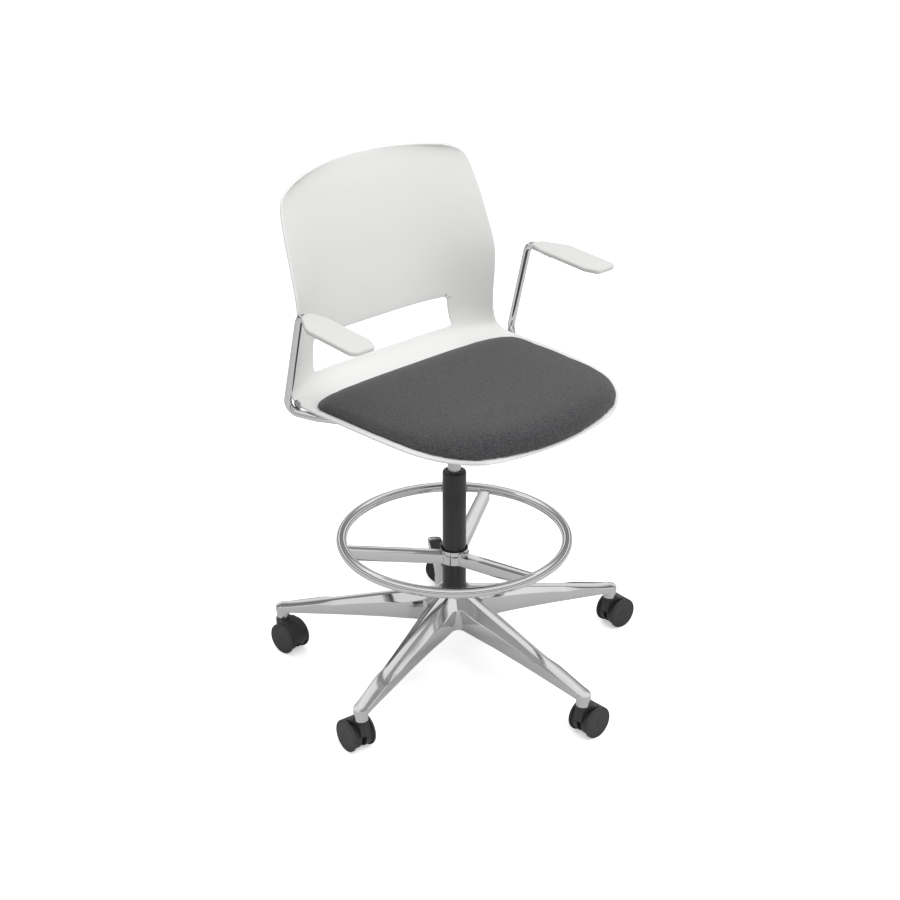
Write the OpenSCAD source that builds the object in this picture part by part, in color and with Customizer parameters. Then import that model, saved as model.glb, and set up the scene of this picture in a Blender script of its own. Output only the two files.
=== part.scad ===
// Drafting chair: a one-piece moulded shell with a lumbar opening and an upholstered seat pad,
// two bent-tube arms, a gas lift in a black column, a foot ring that slides on the column,
// and a polished five-leg base on twin-wheel casters.
// Millimetres, +Z up. The origin is on the column axis at the floor, and the chair faces -Y.

/* [Base] */
// Radius from the column axis to each caster stem
stem_circle_r = 384; // [360:1:400]
// Height of the lower end of each caster socket
socket_z = 75; // [74:0.5:78]
// Outer diameter of each caster socket
socket_d = 28.5; // [26:0.5:30]
// Height of the hub's top face
hub_top_z = 192; // [185:1:200]
// Half width of a leg next to the hub
leg_root_half = 31; // [26:0.5:34]

/* [Column] */
// Outer diameter of the column tube
column_d = 50; // [48:0.5:52]
// Height of the column tube's top edge
column_top_z = 468; // [440:1:480]
// Diameter of the gas cylinder
lift_d = 28; // [26:0.5:30]
// Height of the gas cylinder's top face at rest
lift_top_z = 596; // [590:1:600]

/* [Foot ring] */
// Radius of the ring's centreline
ring_r = 238.5; // [220:0.5:250]
// Diameter of the ring's tube
ring_tube_d = 22; // [20:0.5:25]
// Height of the ring's centreline at rest
ring_z = 311; // [300:1:330]
// Height of the collar's top face at rest
collar_top_z = 277; // [272:1:282]
// Height of the collar
collar_h = 20; // [18:0.5:24]

/* [Casters] */
// Diameter of each wheel over its outer rim
wheel_d = 69; // [64:0.5:70]
// Width of each wheel
wheel_w = 21; // [18:0.5:22]
// Distance from the stem axis to the axle
caster_trail = 20; // [18:0.5:22]
// Diameter of the stem
stem_d = 11; // [10:0.5:12]

/* [Shell and seat] */
// Wall thickness of the moulded shell
shell_t = 6; // [4:0.5:8]
// Thickness of the seat pad at its middle, above the board
pad_t = 28; // [20:1:34]
// Gap between the pad and the shell
pad_gap = 1.2; // [1:0.1:2]

/* [Arms] */
// Diameter of the arm tube
arm_d = 16; // [14:0.5:18]
// Distance from the middle plane to each arm post
arm_x = 311; // [305:1:320]
// Thickness of each arm pad
arm_pad_t = 10; // [8:0.5:12]
// Slope of the arm pads, falling to the front
arm_pad_slope = 3.4; // [0:0.1:6]

/* [Hidden] */
$fn = 64;
CASTERS = 5;
// Heading of each leg and of each caster's trail at rest, in degrees from +X
LEG_ANGLE = [for (k = [0:CASTERS - 1]) 126 + 72 * k];
TRAIL_ANGLE = [274, 84, 0, 356, 300];
running_gap = 0.05;
sleeve_wall = 1.5;
wheel_z = wheel_d / 2;
wheel_inner_y = 5.5;
// The wheel rolls on a narrow outer rim, and the cover lies over the smaller tread beside it
wheel_rim_w = 5.5;
tread_r = wheel_z - 3.3;
axle_d = 8;
hood_gap = 0.9;
hood_r = wheel_z - 0.2;
hood_half_w = wheel_inner_y + wheel_w - wheel_rim_w - 0.6;
web_half = 4.8;
web_r = 21;
stem_bottom_z = 56;
neck_top_z = socket_z - 0.5;
neck_r = 13.5;
column_bottom_z = 108;
column_wall = 2;
rod_d = 10;
button_d = 8;
button_h = 8;
liner_wall = 2;
collar_wall = 3.5;
ring_wall = 2;
plate_z = 621;
plate_t = 4;
lever_pin_x = 25;
lever_z = lift_top_z + button_h + 3.3;
lift_bottom_z = 240;
lift_up = 170;
button_seat = 12;
button_travel = 3.6;

SHELL = ["seat_shell", "seat_cushion", "cushion_board"];
ARMS = ["arm_tube_left", "arm_tube_right", "arm_pad_left", "arm_pad_right", "arm_screws", "pad_screws",
        "tube_saddles", "saddle_screws"];
UNDER = ["seat_plate", "plate_spacers", "plate_screws", "mechanism_housing", "lever_pin", "release_lever",
         "lever_paddle"];
LIFT = ["gas_cylinder", "valve_button", "column_tube", "guide_bush", "piston_rod", "thrust_bearing",
        "retaining_clip"];
RING = ["ring_liner", "ring_tube", "ring_hub", "ring_set_screw"];
BASE = ["star_base", "socket_sleeves"];
CASTER_NODES = ["caster_1_hood", "caster_1_stem", "caster_1_axle", "caster_1_wheel_left",
                "caster_1_wheel_right", "caster_2_hood", "caster_2_stem", "caster_2_axle",
                "caster_2_wheel_left", "caster_2_wheel_right", "caster_3_hood", "caster_3_stem",
                "caster_3_axle", "caster_3_wheel_left", "caster_3_wheel_right", "caster_4_hood",
                "caster_4_stem", "caster_4_axle", "caster_4_wheel_left", "caster_4_wheel_right",
                "caster_5_hood", "caster_5_stem", "caster_5_axle", "caster_5_wheel_left",
                "caster_5_wheel_right"];

// ---- small helpers ----

function unit(v) = v / norm(v);
function polar(r, a) = [r * cos(a), r * sin(a)];

// A tube of radius r along straight runs through the points, with round bends of radius bend.
// Each bend is a little fuller than the runs and reaches over their ends, so the pieces overlap.
bend_fuller = 0.1;
bend_over = 1;

module bent_rod(points, r, bend) {
    n = len(points);
    dirs = [for (i = [0:n - 2]) unit(points[i + 1] - points[i])];
    turns = [for (i = [0:n - 3]) acos(dirs[i] * dirs[i + 1])];
    cuts = concat([0], [for (t = turns) bend * tan(t / 2)], [0]);
    over = asin(bend_over / bend);
    for (i = [0:n - 2]) {
        a = points[i] + dirs[i] * cuts[i];
        rod_between(a, points[i + 1] - dirs[i] * cuts[i + 1], r);
    }
    for (i = [0:n - 3]) {
        inward = unit(dirs[i + 1] - (dirs[i] * dirs[i + 1]) * dirs[i]);
        centre = points[i + 1] - dirs[i] * cuts[i + 1] + inward * bend;
        side = cross(-inward, dirs[i]);
        multmatrix([[-inward[0], dirs[i][0], side[0], centre[0]],
                    [-inward[1], dirs[i][1], side[1], centre[1]],
                    [-inward[2], dirs[i][2], side[2], centre[2]], [0, 0, 0, 1]])
            rotate([0, 0, -over]) rotate_extrude(angle = turns[i] + 2 * over)
                translate([bend, 0]) circle(r = r + bend_fuller);
    }
}

// A straight rod from a to b
module rod_between(a, b, r) {
    d = b - a;
    translate(a)
        rotate([0, acos(d[2] / norm(d)), atan2(d[1], d[0])])
            cylinder(r = r, h = norm(d));
}

// A polygon with each corner rounded: corners is a list of [x, y, radius]
function flat3(c) = [c[0], c[1]];
function rounded(corners) =
    let (n = len(corners))
    [for (i = [0:n - 1])
        let (p = flat3(corners[(i + n - 1) % n]), q = flat3(corners[(i + 1) % n]), c = corners[i],
             a = unit(p - flat3(c)), b = unit(q - flat3(c)), half = acos(a * b) / 2,
             d = c[2] / tan(half), m = unit(a + b) * c[2] / sin(half),
             steps = max(1, ceil((180 - 2 * half) / 13)))
        for (k = [0:steps])
            let (s = k / steps, e = unit((1 - s) * (a * d - m) + s * (b * d - m)))
            flat3(c) + m + e * c[2]];

// The plan of a spoked casting: each arm tapers from root_half to end_half, and neighbours meet in a fillet
function spoked_plan(angles, root_r, root_half, end_r, end_half, fillet, blend) =
    let (n = len(angles), gap = 360 / n)
    rounded([for (a = angles)
        let (u = polar(1, a), v = polar(1, a + 90), w = polar(1, a + gap / 2),
             valley = root_half / sin(gap / 2))
        each [[for (c = u * end_r - v * end_half) c, 0.9 * end_half],
              [for (c = u * end_r + v * end_half) c, 0.9 * end_half],
              [for (c = u * root_r + v * root_half) c, 60 * blend],
              [for (c = w * valley) c, fillet],
              [for (c = rotate2(u * root_r - v * root_half, gap)) c, 60 * blend]]]);
function rotate2(p, a) = [p[0] * cos(a) - p[1] * sin(a), p[0] * sin(a) + p[1] * cos(a)];

// ---- the moulded shell as a loft ----

// Stations from the front lip of the seat to the top of the back:
// [centre y, centre z, half width, rim y, rim z, how square the section is]
STATIONS = [
    [-303, 632, 172, -280, 640, 2.0],
    [-297, 637, 214, -256, 645, 2.0],
    [-282, 641, 248, -222, 651, 2.2],
    [-252, 644, 272, -178, 657, 2.5],
    [-200, 645, 284, -120, 661, 3.0],
    [-120, 643, 289, -50, 662, 3.5],
    [-30, 641, 291, 20, 662, 4.0],
    [60, 639, 292, 85, 661, 4.0],
    [130, 638, 292, 128, 660, 4.0],
    [182, 645, 289, 156, 664, 4.0],
    [211, 659, 283, 168, 676, 4.0],
    [226, 675, 278, 170, 690, 4.0],
    [236, 704, 272, 169, 716, 4.0],
    [241, 741, 268, 165, 750, 3.8],
    [249, 800, 267, 160, 805, 3.4],
    [258, 860, 267, 162, 860, 3.0],
    [265, 920, 264, 180, 918, 2.7],
    [273, 980, 260, 201, 975, 2.5],
    [280, 1030, 254, 219, 1020, 2.4],
    [286, 1062, 244, 230, 1048, 2.3],
    [289, 1079, 224, 238, 1063, 2.2],
    [291, 1087, 192, 248, 1073, 2.1]];
LAST = len(STATIONS) - 1;
OPENING_STATIONS = [11, 13];
OPENING_U = 0.69;
HALF_U = [0, 0.115, 0.23, 0.345, 0.46, 0.575, OPENING_U, 0.78, 0.86, 0.92, 0.965, 1];

function both_sides(half) = concat([for (i = [len(half) - 1:-1:1]) -half[i]], half);
function spline(a, b, c, d, t) =
    0.5 * (2 * b + (c - a) * t + (2 * a - 5 * b + 4 * c - d) * t * t + (3 * b - a - 3 * c + d) * t * t * t);
function station(s) =
    let (i = min(floor(s), LAST - 1))
    spline(STATIONS[max(i - 1, 0)], STATIONS[i], STATIONS[i + 1], STATIONS[min(i + 2, LAST)], s - i);
function shell_point(u, s) =
    let (q = station(s), k = pow(abs(u), q[5]))
    [q[2] * u, q[0] + (q[3] - q[0]) * k, q[1] + (q[4] - q[1]) * k];
function shell_normal(u, s) =
    let (e = 0.02)
    unit(cross(shell_point(min(u + e, 1), s) - shell_point(max(u - e, -1), s),
               shell_point(u, min(s + e, LAST)) - shell_point(u, max(s - e, 0))));
function above_shell(u, s, lift) = shell_point(u, s) + shell_normal(u, s) * lift;

// A closed sheet between an upper and a lower grid of points; cells inside the hole are left out
module sheet(upper, lower, hole = [0, 0, 0, 0]) {
    rows = len(upper);
    cols = len(upper[0]);
    base = rows * cols;
    function at(i, j, low) = low * base + i * cols + j;
    function cell(i, j) = i >= 0 && j >= 0 && i < rows - 1 && j < cols - 1
        && !(i >= hole[0] && i < hole[1] && j >= hole[2] && j < hole[3]);
    function two(a, b, c, d) = [[a, b, c], [a, c, d]];
    faces = [for (i = [0:rows - 2]) for (j = [0:cols - 2]) if (cell(i, j))
        each concat(
            two(at(i, j, 0), at(i + 1, j, 0), at(i + 1, j + 1, 0), at(i, j + 1, 0)),
            two(at(i, j, 1), at(i, j + 1, 1), at(i + 1, j + 1, 1), at(i + 1, j, 1)),
            cell(i - 1, j) ? [] : two(at(i, j, 0), at(i, j + 1, 0), at(i, j + 1, 1), at(i, j, 1)),
            cell(i + 1, j) ? [] : two(at(i + 1, j, 0), at(i + 1, j, 1), at(i + 1, j + 1, 1), at(i + 1, j + 1, 0)),
            cell(i, j - 1) ? [] : two(at(i, j, 0), at(i, j, 1), at(i + 1, j, 1), at(i + 1, j, 0)),
            cell(i, j + 1) ? [] : two(at(i, j + 1, 0), at(i + 1, j + 1, 0), at(i + 1, j + 1, 1), at(i, j + 1, 1)))];
    polyhedron(points = concat([for (r = upper) each r], [for (r = lower) each r]), faces = faces);
}

module seat_shell() {
    us = both_sides(HALF_U);
    ss = [for (k = [0:2 * LAST]) k / 2];
    middle = len(HALF_U) - 1;
    reach = search(OPENING_U, HALF_U)[0];
    color("whitesmoke")
        sheet([for (s = ss) [for (u = us) shell_point(u, s)]],
              [for (s = ss) [for (u = us) above_shell(u, s, -shell_t)]],
              [2 * OPENING_STATIONS[0], 2 * OPENING_STATIONS[1], middle - reach, middle + reach]);
}

// ---- the upholstered pad on its board ----

PAD_A = [0, 0.2, 0.4, 0.6, 0.7, 0.78, 0.86, 0.92, 0.965, 1];
PAD_FIRST = 0.5;
PAD_LAST = 8.5;
BOARD_STATIONS = [3, 7];
BOARD_U = 0.62;
board_t = 7;
pad_edge_t = 5;

// How far the pad reaches towards the rim: narrower at the rear corners
function pad_reach(s) = s < 7 ? 0.965 : 0.66 + 0.305 * sqrt(max(0, 1 - pow((s - 7) / (PAD_LAST - 7), 2)));
function ramp(x, span) = 1 - pow(1 - min(1, x / span), 3);
function pad_height(a, s) =
    pad_edge_t + (pad_t + board_t + pad_gap - pad_edge_t)
    * (1 - pow(abs(a), 4)) * ramp(s - PAD_FIRST, 2.5) * ramp(PAD_LAST - s, 1.6);
function over_board(a, s) = abs(a) <= 0.7 && s >= BOARD_STATIONS[0] - 0.5 && s <= BOARD_STATIONS[1] + 0.5;

module seat_cushion() {
    as = both_sides(PAD_A);
    ss = [for (s = [PAD_FIRST:0.5:PAD_LAST]) s];
    color("dimgray")
        sheet([for (s = ss) [for (a = as) above_shell(a * pad_reach(s), s, pad_gap + pad_height(a, s))]],
              [for (s = ss) [for (a = as)
                  above_shell(a * pad_reach(s), s, over_board(a, s) ? 2 * pad_gap + board_t : pad_gap)]]);
}

module cushion_board() {
    us = [-BOARD_U, -0.46, -0.23, 0, 0.23, 0.46, BOARD_U];
    ss = [for (s = [BOARD_STATIONS[0]:0.5:BOARD_STATIONS[1]]) s];
    color("saddlebrown")
        sheet([for (s = ss) [for (u = us) above_shell(u, s, pad_gap + board_t)]],
              [for (s = ss) [for (u = us) above_shell(u, s, pad_gap)]]);
}

// ---- arms ----

arm_bend = 24;
arm_foot_z = 640;
arm_run_z = plate_z - arm_d / 2 - 0.1;
arm_run_y = 64;
ARM_PATH = [[arm_x, 30, 861.4], [arm_x, 103, 865.7], [arm_x, 157, arm_foot_z + 7], [283, 98, arm_foot_z + 2],
            [240, 66, arm_foot_z - 8], [196, arm_run_y, arm_run_z], [30, arm_run_y, arm_run_z]];
SADDLE_X = [40, 62];
saddle_w = 14;
saddle_hole_y = 17;
// A round lug on the lower bend carries the side screw
LUG_AT = [294.5, 139, 663];
lug_t = 3;
lug_d = 18;
lug_foot_w = 14;
side_screw_d = 6;
pad_origin = [arm_x, 78, 873.6];
pad_tube_drop = 9.4;
boss_r = arm_d / 2 + 1.3;
boss_len = 62;
pad_screw_d = 4;
pad_screw_bottom = -20.4;
PAD_OUTLINE = [[-13, 4, 9], [-22, -30, 60], [-22, -158, 18], [-10, -188, 12], [46, -188, 16],
               [46, -50, 40], [14, 4, 12]];
PAD_SCREW_Y = [-40, -26];

module both_arms() {
    for (side = [0, 1]) mirror([side, 0, 0]) children();
}

module pad_frame() {
    translate(pad_origin) rotate([arm_pad_slope, 0, 0]) children();
}

module arm_tube() {
    color("lightgray")
        difference() {
            union() {
                bent_rod(ARM_PATH, arm_d / 2, arm_bend);
                translate(LUG_AT) rotate([0, 90, 0]) cylinder(d = lug_d, h = lug_t);
                translate([LUG_AT[0], LUG_AT[1] - lug_foot_w / 2, arm_foot_z + 6])
                    cube([lug_t, lug_foot_w, LUG_AT[2] - arm_foot_z - 6]);
            }
            translate(LUG_AT - [5, 0, 0]) rotate([0, 90, 0]) cylinder(d = side_screw_d + 0.2, h = 5 + lug_t + 1);
            for (y = PAD_SCREW_Y)
                pad_frame() translate([0, y, pad_screw_bottom - 2]) cylinder(d = pad_screw_d + 0.1, h = 14);
        }
}

module arm_pad() {
    color("white")
        difference() {
            union() {
                pad_frame() translate([0, 0, -arm_pad_t])
                    linear_extrude(arm_pad_t) polygon(rounded(PAD_OUTLINE));
                pad_frame() translate([0, 6 - boss_len, -pad_tube_drop])
                    rotate([-90, 0, 0]) cylinder(r = boss_r, h = boss_len);
            }
            bent_rod([ARM_PATH[0] - unit(ARM_PATH[1] - ARM_PATH[0]), ARM_PATH[1], ARM_PATH[2]],
                     arm_d / 2 + running_gap, arm_bend);
            for (y = PAD_SCREW_Y)
                pad_frame() translate([0, y, pad_screw_bottom - 2]) cylinder(d = pad_screw_d + 0.6, h = 14);
        }
}

module arm_tube_left() { mirror([1, 0, 0]) arm_tube(); }
module arm_tube_right() { arm_tube(); }
module arm_pad_left() { mirror([1, 0, 0]) arm_pad(); }
module arm_pad_right() { arm_pad(); }

// A washer and a button-head screw at each arm's lower bend
module arm_screws() {
    color("silver")
        both_arms() translate(LUG_AT + [lug_t + 0.1, 0, 0]) rotate([0, 90, 0]) {
            cylinder(d = 17, h = 1.6);
            translate([0, 0, 1.6]) cylinder(d = 11, h = 3);
            translate([0, 0, -lug_t]) cylinder(d = side_screw_d, h = lug_t);
        }
}

// Two screws that hold each pad to its tube, from below
module pad_screws() {
    color("silver")
        both_arms() for (y = PAD_SCREW_Y) pad_frame() translate([0, y, 0]) {
            translate([0, 0, pad_screw_bottom]) cylinder(d = pad_screw_d, h = 11);
            translate([0, 0, pad_screw_bottom]) cylinder(d = 7, h = 1.6);
        }
}

module saddle_places() {
    both_arms() for (x = SADDLE_X) translate([x, arm_run_y, 0]) children();
}

// Straps that hold the arm tubes under the seat plate
module tube_saddles() {
    color("dimgray")
        saddle_places() difference() {
            union() {
                translate([-saddle_w / 2, 0, arm_run_z])
                    rotate([0, 90, 0]) cylinder(d = arm_d + 5, h = saddle_w);
                translate([-saddle_w / 2, -24, plate_z - 2.9]) cube([saddle_w, 48, 2.8]);
            }
            translate([-20, 0, arm_run_z]) rotate([0, 90, 0]) cylinder(d = arm_d + 0.2, h = 40);
            translate([-20, -30, plate_z - 0.1]) cube([40, 60, 30]);
            for (y = [-saddle_hole_y, saddle_hole_y])
                translate([0, y, plate_z - 10]) cylinder(d = 5.2, h = 20);
        }
}

module saddle_screws() {
    color("silver")
        saddle_places() for (y = [-saddle_hole_y, saddle_hole_y]) translate([0, y, 0]) {
            translate([0, 0, plate_z - 6]) cylinder(d = 9, h = 3);
            translate([0, 0, plate_z - 6]) cylinder(d = 5, h = 6 + plate_t);
        }
}

// ---- plate, spacers and height mechanism under the seat ----

plate_x = 190;
plate_y = 236;
plate_mid_y = -26;
SPACER_STATIONS = [4.8, 7.35];
spacer_u = 0.26;
spacer_d = 18;
housing_x = 72;
housing_y = 48;
housing_wall = 3;
housing_z = 590;
socket_d_outer = 42;
socket_bottom_z = 551;
pin_d = 5;
LEVER_PATH = [[50, 0, lever_z], [78, -4, lever_z - 6], [150, -26, 592], [206, -42, 590]];

function spacer_top(s) = above_shell(spacer_u, s, -shell_t);
module spacer_places() {
    both_arms() for (s = SPACER_STATIONS)
        translate([spacer_top(s)[0], spacer_top(s)[1], 0])
            spacer_part(spacer_top(s)[2] - 0.6 - plate_z - plate_t) children();
}
module spacer_part(h) {
    $spacer_h = h;
    children();
}

module seat_plate() {
    color("dimgray")
        difference() {
            translate([0, plate_mid_y, plate_z]) linear_extrude(plate_t)
                polygon(rounded([[-plate_x / 2, -plate_y / 2, 16], [plate_x / 2, -plate_y / 2, 16],
                                 [plate_x / 2, plate_y / 2, 16], [-plate_x / 2, plate_y / 2, 16]]));
            spacer_places() translate([0, 0, plate_z - 1]) cylinder(d = 6.4, h = plate_t + 2);
            saddle_places() for (y = [-saddle_hole_y, saddle_hole_y])
                translate([0, y, plate_z - 1]) cylinder(d = 5.1, h = plate_t + 2);
        }
}

module plate_spacers() {
    color("black")
        spacer_places() translate([0, 0, plate_z + plate_t]) difference() {
            cylinder(d = spacer_d, h = $spacer_h);
            translate([0, 0, -1]) cylinder(d = 6.4, h = $spacer_h + 2);
        }
}

module plate_screws() {
    color("silver")
        spacer_places() {
            translate([0, 0, plate_z - 4]) cylinder(d = 12, h = 4);
            translate([0, 0, plate_z - 4]) cylinder(d = 6, h = 3.5 + plate_t + $spacer_h);
        }
}

// A box channel with the socket that sits on the gas cylinder
module mechanism_housing() {
    inner_x = housing_x - 2 * housing_wall;
    inner_y = housing_y - 2 * housing_wall;
    color("#333333")
        difference() {
            union() {
                translate([-housing_x / 2, -housing_y / 2, housing_z])
                    cube([housing_x, housing_y, plate_z - 0.1 - housing_z]);
                translate([0, 0, socket_bottom_z])
                    cylinder(d = socket_d_outer, h = housing_z - socket_bottom_z + 1);
            }
            translate([-inner_x / 2, -inner_y / 2, housing_z + housing_wall])
                cube([inner_x, inner_y, 60]);
            translate([0, 0, socket_bottom_z - 1]) cylinder(d = lift_d + 2 * running_gap, h = 60);
            translate([lever_pin_x, -40, lever_z]) rotate([-90, 0, 0]) cylinder(d = pin_d + 0.06, h = 80);
            translate([housing_x / 2 - 6, -8, lever_z - 7]) cube([12, 16, 16]);
        }
}

module lever_pin() {
    color("silver")
        translate([lever_pin_x, -housing_y / 2 - 1.5, lever_z])
            rotate([-90, 0, 0]) cylinder(d = pin_d, h = housing_y + 3);
}

// The lever: a flat bar over the valve button, its pin hole, and a rod out to the paddle
module release_lever() {
    color("#333333")
        difference() {
            union() {
                translate([0, -5, lever_z - 3]) cube([54, 10, 6]);
                translate([0, -5, lever_z]) rotate([-90, 0, 0]) cylinder(d = 6, h = 10);
                translate([lever_pin_x, -5, lever_z]) rotate([-90, 0, 0]) cylinder(d = 11, h = 10);
                bent_rod(LEVER_PATH, 3.5, 14);
            }
            translate([lever_pin_x, -10, lever_z]) rotate([-90, 0, 0])
                cylinder(d = pin_d + 2 * running_gap, h = 20);
        }
}

module lever_paddle() {
    tip = LEVER_PATH[3];
    turn = atan2(LEVER_PATH[3][1] - LEVER_PATH[2][1], LEVER_PATH[3][0] - LEVER_PATH[2][0]);
    color("#222222")
        difference() {
            translate([tip[0], tip[1], tip[2] - 5]) rotate([0, 0, turn])
                linear_extrude(10)
                    polygon(rounded([[-34, -9, 5], [40, -14, 10], [40, 14, 10], [-34, 9, 5]]));
            rod_between(LEVER_PATH[2], tip + [0.4, -0.1, 0], 3.6);
        }
}

// ---- gas lift and column ----

module gas_cylinder() {
    cavity_top = lift_top_z - 30;
    color("silver")
        difference() {
            translate([0, 0, lift_bottom_z]) cylinder(d = lift_d, h = lift_top_z - lift_bottom_z);
            translate([0, 0, lift_bottom_z + 10])
                cylinder(d = lift_d - 4, h = cavity_top - lift_bottom_z - 10);
            translate([0, 0, lift_bottom_z - 1]) cylinder(d = rod_d + 2 * running_gap, h = 20);
            translate([0, 0, lift_top_z - button_seat]) cylinder(d = button_d + 2 * running_gap, h = 30);
        }
}

module valve_button() {
    color("dimgray")
        translate([0, 0, lift_top_z - button_seat + button_travel + 0.5])
            cylinder(d = button_d, h = button_h + button_seat - button_travel - 0.5);
}

module column_tube() {
    r = column_d / 2;
    edge = 5;
    color("#333333")
        difference() {
            rotate_extrude() polygon(concat(
                [[0, column_bottom_z], [r, column_bottom_z], [r, column_top_z - edge]],
                [for (a = [15:15:90]) [r - edge + edge * cos(a), column_top_z - edge + edge * sin(a)]],
                [[0, column_top_z]]));
            translate([0, 0, column_bottom_z + 3]) cylinder(r = r - column_wall, h = 500);
            translate([0, 0, column_bottom_z - 1]) cylinder(d = rod_d + 0.1, h = 10);
        }
}

module guide_bush() {
    bush_h = 66;
    color("#222222")
        translate([0, 0, column_top_z - 1.5 - bush_h]) difference() {
            cylinder(d = column_d - 2 * column_wall - 0.06, h = bush_h);
            translate([0, 0, -1]) cylinder(d = lift_d + 2 * running_gap, h = bush_h + 2);
        }
}

// The rod is held at the foot of the column, and its piston stays inside the gas cylinder
module piston_rod() {
    top = lift_bottom_z + lift_up + 14;
    color("silver")
        union() {
            translate([0, 0, column_bottom_z - 7]) cylinder(d = rod_d, h = top - column_bottom_z + 7);
            translate([0, 0, top]) cylinder(d = lift_d - 4.2, h = 8);
        }
}

module thrust_bearing() {
    color("silver")
        translate([0, 0, column_bottom_z + 3.1]) difference() {
            cylinder(d = 27, h = 9);
            translate([0, 0, -1]) cylinder(d = rod_d + 0.2, h = 12);
            translate([0, 0, 3]) difference() {
                cylinder(d = 40, h = 3);
                translate([0, 0, -1]) cylinder(d = 24, h = 5);
            }
        }
}

module retaining_clip() {
    color("silver")
        translate([0, 0, column_bottom_z - 2.1]) difference() {
            cylinder(d = 20, h = 2);
            translate([0, 0, -1]) cylinder(d = rod_d + 0.1, h = 4);
            translate([-2, 0, -1]) cube([4, 20, 4]);
        }
}

// ---- foot ring ----

collar_bore_d = column_d + 2 * running_gap + 2 * liner_wall + 0.06;
collar_r = collar_bore_d / 2 + collar_wall;
SPOKE_ANGLE = [30, 150, 270];

module ring_liner() {
    color("#222222")
        translate([0, 0, collar_top_z - collar_h]) difference() {
            union() {
                cylinder(d = collar_bore_d - 0.06, h = collar_h);
                translate([0, 0, -2]) cylinder(r = collar_r - 0.8, h = 2);
            }
            translate([0, 0, -3]) cylinder(d = column_d + 2 * running_gap, h = collar_h + 4);
        }
}

module ring_tube() {
    color("lightgray")
        translate([0, 0, ring_z]) rotate_extrude() translate([ring_r, 0]) difference() {
            circle(d = ring_tube_d);
            circle(d = ring_tube_d - 2 * ring_wall);
        }
}

// A collar with three spokes that rise to the ring
module ring_hub() {
    low = collar_top_z - collar_h;
    end_top = ring_z + 4;
    end_low = ring_z - 21;
    root_half = 14;
    end_half = 11.5;
    screw_d = 6.1;
    color("lightgray")
        difference() {
            union() {
                translate([0, 0, low]) cylinder(r = collar_r, h = collar_h);
                intersection() {
                    translate([0, 0, low]) linear_extrude(80)
                        polygon(spoked_plan(SPOKE_ANGLE, 78, root_half, ring_r - 2, end_half, 50, 3));
                    rotate_extrude() polygon([[0, low + 0.1], [60, low + 5], [ring_r, end_low],
                                              [ring_r, end_top], [60, collar_top_z + 8], [36, collar_top_z + 1],
                                              [0, collar_top_z + 1]]);
                }
            }
            translate([0, 0, ring_z]) rotate_extrude()
                translate([ring_r, 0]) circle(d = ring_tube_d + 0.1);
            translate([0, 0, low - 1]) cylinder(d = collar_bore_d, h = collar_h + 10);
            translate([0, 20, low + collar_h / 2]) rotate([-90, 0, 0]) cylinder(d = screw_d, h = 30);
        }
}

module ring_set_screw() {
    color("dimgray")
        translate([0, collar_bore_d / 2 + 0.1, collar_top_z - collar_h / 2]) rotate([-90, 0, 0]) difference() {
            cylinder(d = 6, h = collar_wall - 0.4);
            translate([0, 0, 1]) cylinder(d = 3.4, h = 5, $fn = 6);
        }
}

// ---- five-leg base ----

leg_tip_half = 15.8;
leg_tip_z = 104;
leg_bottom_tip_z = 92;
hub_bottom_z = 118;
sleeve_h = 22;
// A narrow flat ridge runs down each leg, with a sloping facet on either side as far as the tip
ridge_half = 9;
ridge_slope = 0.238;
facet_slope = 0.7;
facet_end_r = 268;

module socket_places() {
    for (a = LEG_ANGLE) rotate([0, 0, a]) translate([stem_circle_r, 0, 0]) children();
}

module leg_plan(tip_r) {
    half = [[230, 20, 60], [150, 24.5, 60], [95, leg_root_half, 40], [20, leg_root_half, 1]];
    polygon(rounded(concat(
        [[tip_r, -leg_tip_half, 0.9 * leg_tip_half], [tip_r, leg_tip_half, 0.9 * leg_tip_half]],
        half, [for (i = [len(half) - 1:-1:0]) [half[i][0], -half[i][1], half[i][2]]])));
}

module leg() {
    tip_r = stem_circle_r + leg_tip_half;
    wide = 90;
    top = leg_tip_z + stem_circle_r * ridge_slope;
    tilt = atan(ridge_slope);
    intersection() {
        linear_extrude(hub_top_z + 10) leg_plan(tip_r);
        translate([0, wide / 2, 0]) rotate([90, 0, 0]) linear_extrude(wide)
            polygon([[10, hub_bottom_z], [95, hub_bottom_z + 0.5], [stem_circle_r - 14, leg_bottom_tip_z + 1],
                     [tip_r + 1, leg_bottom_tip_z], [tip_r + 1, leg_tip_z - 5], [stem_circle_r + 5, leg_tip_z - 1],
                     [stem_circle_r - 8, leg_tip_z + 2], [10, top - 10 * ridge_slope]]);
        union() {
            multmatrix([[0, sin(tilt), -cos(tilt), tip_r + 20],
                        [-1, 0, 0, 0],
                        [0, cos(tilt), sin(tilt), top - (tip_r + 20) * ridge_slope], [0, 0, 0, 1]])
                linear_extrude(tip_r + 40)
                    polygon([[-ridge_half, 0], [-wide / 2, -facet_slope * (wide / 2 - ridge_half)], [-wide / 2, -120],
                             [wide / 2, -120], [wide / 2, -facet_slope * (wide / 2 - ridge_half)], [ridge_half, 0]]);
            linear_extrude(hub_top_z)
                polygon([[facet_end_r, -ridge_half], [facet_end_r + 32, -30], [tip_r + 10, -30],
                         [tip_r + 10, 30], [facet_end_r + 32, 30], [facet_end_r, ridge_half]]);
        }
    }
}

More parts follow.
